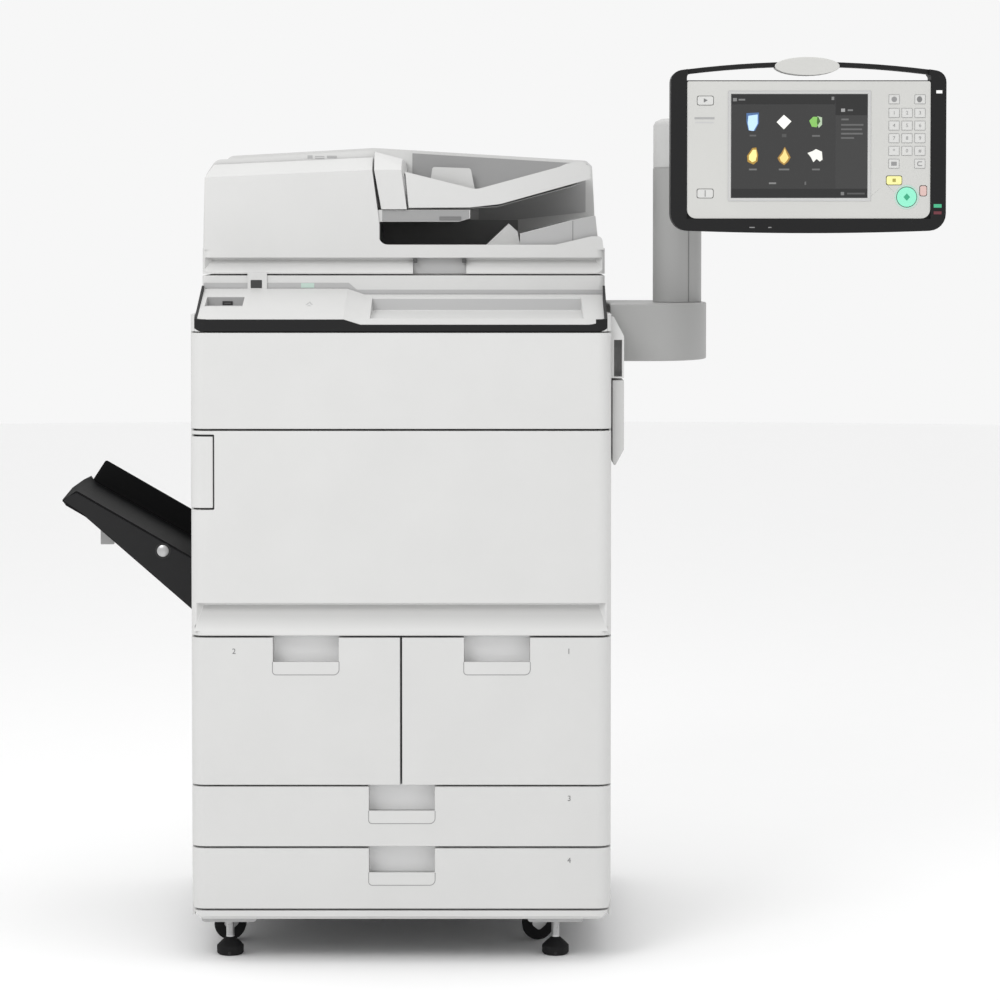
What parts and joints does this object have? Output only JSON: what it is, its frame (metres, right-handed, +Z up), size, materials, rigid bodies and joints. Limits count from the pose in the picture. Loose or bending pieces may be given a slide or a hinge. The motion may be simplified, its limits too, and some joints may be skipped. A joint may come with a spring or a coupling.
{
  "type": "photocopier",
  "caption": "Floor-standing office photocopier with document feeder, paper drawers, side trays, levelling feet and a control panel on a swivelling arm.",
  "frame": {"origin": "middle of the bottom face of the bounding box, on the floor under the levelling feet", "axes": "+Z up, -Y the way the front doors and drawers face, +X towards the control panel side"},
  "size_m": [1.3726, 0.758, 1.397],
  "materials": {
    "cover_white": "finely textured off-white moulded plastic",
    "drawer_white": "finely textured off-white moulded plastic",
    "black_plastic": "matte black moulded plastic",
    "grey_plastic": "mid-grey satin plastic",
    "dark_grey_plastic": "dark grey moulded plastic",
    "panel_grey": "light grey satin plastic",
    "sheet_steel": "folded zinc-plated sheet steel",
    "zinc_steel": "zinc-plated pressed steel",
    "rubber": "black rubber",
    "screen_glass": "glossy touch panel",
    "clear_glass": "flat polished glass",
    "pad_white": "soft white backing sheet",
    "drum_green": "glossy coated imaging drum",
    "key_green": "translucent green key",
    "key_yellow": "yellow key",
    "key_red": "pale red key",
    "key_grey": "light grey silicone keys"
  },
  "bodies": {
    "cabinet": {"main_frame": "sheet_steel", "inner_cover": "dark_grey_plastic", "base_skirt": "drawer_white", "left_cover": "cover_white", "right_cover": "cover_white", "rear_cover": "cover_white", "top_tray": "cover_white", "top_trim": "black_plastic", "scanner_housing": "cover_white", "platen_glass": "clear_glass", "exit_tray": "black_plastic", "arm_base": "grey_plastic", "arm_column": "grey_plastic"},
    "feeder": {"feeder_base": "cover_white", "platen_pad": "pad_white"},
    "feeder_cover": {"feeder_cover": "cover_white"},
    "document_tray": {"document_tray": "cover_white"},
    "guide_front": {"guide_front": "grey_plastic"},
    "guide_rear": {"guide_rear": "grey_plastic"},
    "pickup_roller": {"pickup_roller": "rubber"},
    "scan_carriage": {"scan_carriage": "black_plastic"},
    "toner_cover": {"toner_cover": "cover_white"},
    "front_door": {"front_door": "cover_white"},
    "power_switch_cover": {"power_switch_cover": "cover_white"},
    "power_switch": {"power_switch": "black_plastic"},
    "toner_bottle": {"toner_bottle": "dark_grey_plastic"},
    "drum": {"drum": "drum_green"},
    "fuser_roller": {"fuser_roller": "black_plastic"},
    "pressure_roller": {"pressure_roller": "rubber"},
    "drawer_1": {"drawer_1_front": "drawer_white", "drawer_1_bin": "sheet_steel"},
    "drawer_2": {"drawer_2_front": "drawer_white", "drawer_2_bin": "sheet_steel"},
    "drawer_3": {"drawer_3_front": "drawer_white", "drawer_3_bin": "sheet_steel"},
    "drawer_4": {"drawer_4_front": "drawer_white", "drawer_4_bin": "sheet_steel"},
    "bypass_tray": {"bypass_tray": "cover_white"},
    "arm_head": {"arm_head": "grey_plastic"},
    "control_panel": {"panel_housing": "black_plastic", "panel_face": "panel_grey", "panel_grip": "panel_grey", "screen": "screen_glass"},
    "start_key": {"start_key": "key_green"},
    "stop_key": {"stop_key": "key_red"},
    "reset_key": {"reset_key": "key_yellow"},
    "keypad": {"keypad": "key_grey"},
    "left_keys": {"left_keys": "key_grey"},
    "foot_front_left": {"foot_front_left": "rubber"},
    "caster_fork_front_left": {"caster_fork_front_left": "zinc_steel"},
    "caster_wheel_front_left": {"caster_wheel_front_left": "rubber"},
    "foot_front_right": {"foot_front_right": "rubber"},
    "caster_fork_front_right": {"caster_fork_front_right": "zinc_steel"},
    "caster_wheel_front_right": {"caster_wheel_front_right": "rubber"},
    "foot_rear_left": {"foot_rear_left": "rubber"},
    "caster_fork_rear_left": {"caster_fork_rear_left": "zinc_steel"},
    "caster_wheel_rear_left": {"caster_wheel_rear_left": "rubber"},
    "foot_rear_right": {"foot_rear_right": "rubber"},
    "caster_fork_rear_right": {"caster_fork_rear_right": "zinc_steel"},
    "caster_wheel_rear_right": {"caster_wheel_rear_right": "rubber"}
  },
  "joints": [
    {"name": "feeder_lift", "type": "hinge", "parent": "cabinet", "child": "feeder", "pos_m": [-0.1447, 0.359, 1.066], "axis": [-1, 0, 0], "range_deg": [0, 60]},
    {"name": "feeder_cover_open", "type": "hinge", "parent": "feeder", "child": "feeder_cover", "pos_m": [-0.4607, 0.043, 1.175], "axis": [0, -1, 0], "range_deg": [0, 80]},
    {"name": "document_tray_lift", "type": "hinge", "parent": "feeder", "child": "document_tray", "pos_m": [-0.1387, 0.018, 1.222], "axis": [0, -1, 0], "range_deg": [0, 25]},
    {"name": "guide_front_slide", "type": "slide", "parent": "document_tray", "child": "guide_front", "axis": [0, 1, 0], "range_m": [0, 0.1]},
    {"name": "guide_rear_slide", "type": "slide", "parent": "document_tray", "child": "guide_rear", "axis": [0, 1, 0], "range_m": [-0.1, 0]},
    {"name": "pickup_roller_spin", "type": "hinge", "parent": "feeder", "child": "pickup_roller", "pos_m": [-0.1667, 0.023, 1.199], "axis": [0, 1, 0], "continuous": true},
    {"name": "scan_carriage_travel", "type": "slide", "parent": "cabinet", "child": "scan_carriage", "axis": [1, 0, 0], "range_m": [0, 0.4]},
    {"name": "toner_cover_open", "type": "hinge", "parent": "cabinet", "child": "toner_cover", "pos_m": [-0.1447, -0.331, 0.834], "axis": [1, 0, 0], "range_deg": [0, 80]},
    {"name": "front_door_open", "type": "hinge", "parent": "cabinet", "child": "front_door", "pos_m": [0.1728, -0.331, 0.666], "axis": [0, 0, 1], "range_deg": [0, 95]},
    {"name": "power_switch_cover_open", "type": "hinge", "parent": "cabinet", "child": "power_switch_cover", "pos_m": [-0.4652, -0.317, 0.761], "axis": [0, 0, -1], "range_deg": [0, 90]},
    {"name": "power_switch_rock", "type": "hinge", "parent": "cabinet", "child": "power_switch", "pos_m": [-0.4447, -0.307, 0.76], "axis": [1, 0, 0], "range_deg": [-6, 6]},
    {"name": "toner_bottle_spin", "type": "hinge", "parent": "cabinet", "child": "toner_bottle", "pos_m": [-0.2047, -0.027, 0.9], "axis": [0, 1, 0], "continuous": true},
    {"name": "drum_spin", "type": "hinge", "parent": "cabinet", "child": "drum", "pos_m": [-0.1247, 0.013, 0.69], "axis": [0, 1, 0], "continuous": true},
    {"name": "fuser_roller_spin", "type": "hinge", "parent": "cabinet", "child": "fuser_roller", "pos_m": [-0.3947, 0.013, 0.6874], "axis": [0, 1, 0], "continuous": true},
    {"name": "pressure_roller_spin", "type": "hinge", "parent": "cabinet", "child": "pressure_roller", "pos_m": [-0.3947, 0.013, 0.6266], "axis": [0, 1, 0], "continuous": true},
    {"name": "drawer_1_slide", "type": "slide", "parent": "cabinet", "child": "drawer_1", "axis": [0, -1, 0], "range_m": [0, 0.45]},
    {"name": "drawer_2_slide", "type": "slide", "parent": "cabinet", "child": "drawer_2", "axis": [0, -1, 0], "range_m": [0, 0.45]},
    {"name": "drawer_3_slide", "type": "slide", "parent": "cabinet", "child": "drawer_3", "axis": [0, -1, 0], "range_m": [0, 0.45]},
    {"name": "drawer_4_slide", "type": "slide", "parent": "cabinet", "child": "drawer_4", "axis": [0, -1, 0], "range_m": [0, 0.45]},
    {"name": "bypass_tray_open", "type": "hinge", "parent": "cabinet", "child": "bypass_tray", "pos_m": [0.1868, -0.096, 0.7755], "axis": [0, 1, 0], "range_deg": [0, 70]},
    {"name": "panel_swivel", "type": "hinge", "parent": "cabinet", "child": "arm_head", "pos_m": [0.2933, -0.102, 1.24], "axis": [0, 0, 1], "range_deg": [-30, 60]},
    {"name": "panel_tilt", "type": "hinge", "parent": "arm_head", "child": "control_panel", "pos_m": [0.4768, -0.305, 1.262], "axis": [1, 0, 0], "range_deg": [-30, 15]},
    {"name": "start_key_press", "type": "slide", "parent": "control_panel", "child": "start_key", "axis": [0, 1, 0], "range_m": [0, 0.001], "stiffness_N_per_m": 600},
    {"name": "stop_key_press", "type": "slide", "parent": "control_panel", "child": "stop_key", "axis": [0, 1, 0], "range_m": [0, 0.001], "stiffness_N_per_m": 600},
    {"name": "reset_key_press", "type": "slide", "parent": "control_panel", "child": "reset_key", "axis": [0, 1, 0], "range_m": [0, 0.001], "stiffness_N_per_m": 600},
    {"name": "keypad_press", "type": "slide", "parent": "control_panel", "child": "keypad", "axis": [0, 1, 0], "range_m": [0, 0.001], "stiffness_N_per_m": 600},
    {"name": "left_keys_press", "type": "slide", "parent": "control_panel", "child": "left_keys", "axis": [0, 1, 0], "range_m": [0, 0.001], "stiffness_N_per_m": 600},
    {"name": "foot_front_left_turn", "type": "hinge", "parent": "cabinet", "child": "foot_front_left", "pos_m": [-0.4142, -0.267, 0.043], "axis": [0, 0, 1], "continuous": true},
    {"name": "foot_front_right_turn", "type": "hinge", "parent": "cabinet", "child": "foot_front_right", "pos_m": [0.0953, -0.267, 0.043], "axis": [0, 0, 1], "continuous": true},
    {"name": "foot_rear_left_turn", "type": "hinge", "parent": "cabinet", "child": "foot_rear_left", "pos_m": [-0.4142, 0.303, 0.043], "axis": [0, 0, 1], "continuous": true},
    {"name": "foot_rear_right_turn", "type": "hinge", "parent": "cabinet", "child": "foot_rear_right", "pos_m": [0.0953, 0.303, 0.043], "axis": [0, 0, 1], "continuous": true},
    {"name": "caster_front_left_swivel", "type": "hinge", "parent": "cabinet", "child": "caster_fork_front_left", "pos_m": [-0.3967, -0.161, 0.082], "axis": [0, 0, 1], "continuous": true},
    {"name": "caster_front_right_swivel", "type": "hinge", "parent": "cabinet", "child": "caster_fork_front_right", "pos_m": [0.0943, -0.161, 0.082], "axis": [0, 0, 1], "continuous": true},
    {"name": "caster_rear_left_swivel", "type": "hinge", "parent": "cabinet", "child": "caster_fork_rear_left", "pos_m": [-0.3967, 0.209, 0.082], "axis": [0, 0, 1], "continuous": true},
    {"name": "caster_rear_right_swivel", "type": "hinge", "parent": "cabinet", "child": "caster_fork_rear_right", "pos_m": [0.0943, 0.209, 0.082], "axis": [0, 0, 1], "continuous": true},
    {"name": "caster_front_left_roll", "type": "hinge", "parent": "caster_fork_front_left", "child": "caster_wheel_front_left", "pos_m": [-0.4217, -0.161, 0.0265], "axis": [0, 1, 0], "continuous": true},
    {"name": "caster_front_right_roll", "type": "hinge", "parent": "caster_fork_front_right", "child": "caster_wheel_front_right", "pos_m": [0.0693, -0.161, 0.0265], "axis": [0, 1, 0], "continuous": true},
    {"name": "caster_rear_left_roll", "type": "hinge", "parent": "caster_fork_rear_left", "child": "caster_wheel_rear_left", "pos_m": [-0.4217, 0.209, 0.0265], "axis": [0, 1, 0], "continuous": true},
    {"name": "caster_rear_right_roll", "type": "hinge", "parent": "caster_fork_rear_right", "child": "caster_wheel_rear_right", "pos_m": [0.0693, 0.209, 0.0265], "axis": [0, 1, 0], "continuous": true}
  ],
  "couplings": [
    {"joint": "guide_rear_slide", "follows": "guide_front_slide", "ratio": -1},
    {"joint": "pressure_roller_spin", "follows": "fuser_roller_spin", "ratio": -1}
  ]
}
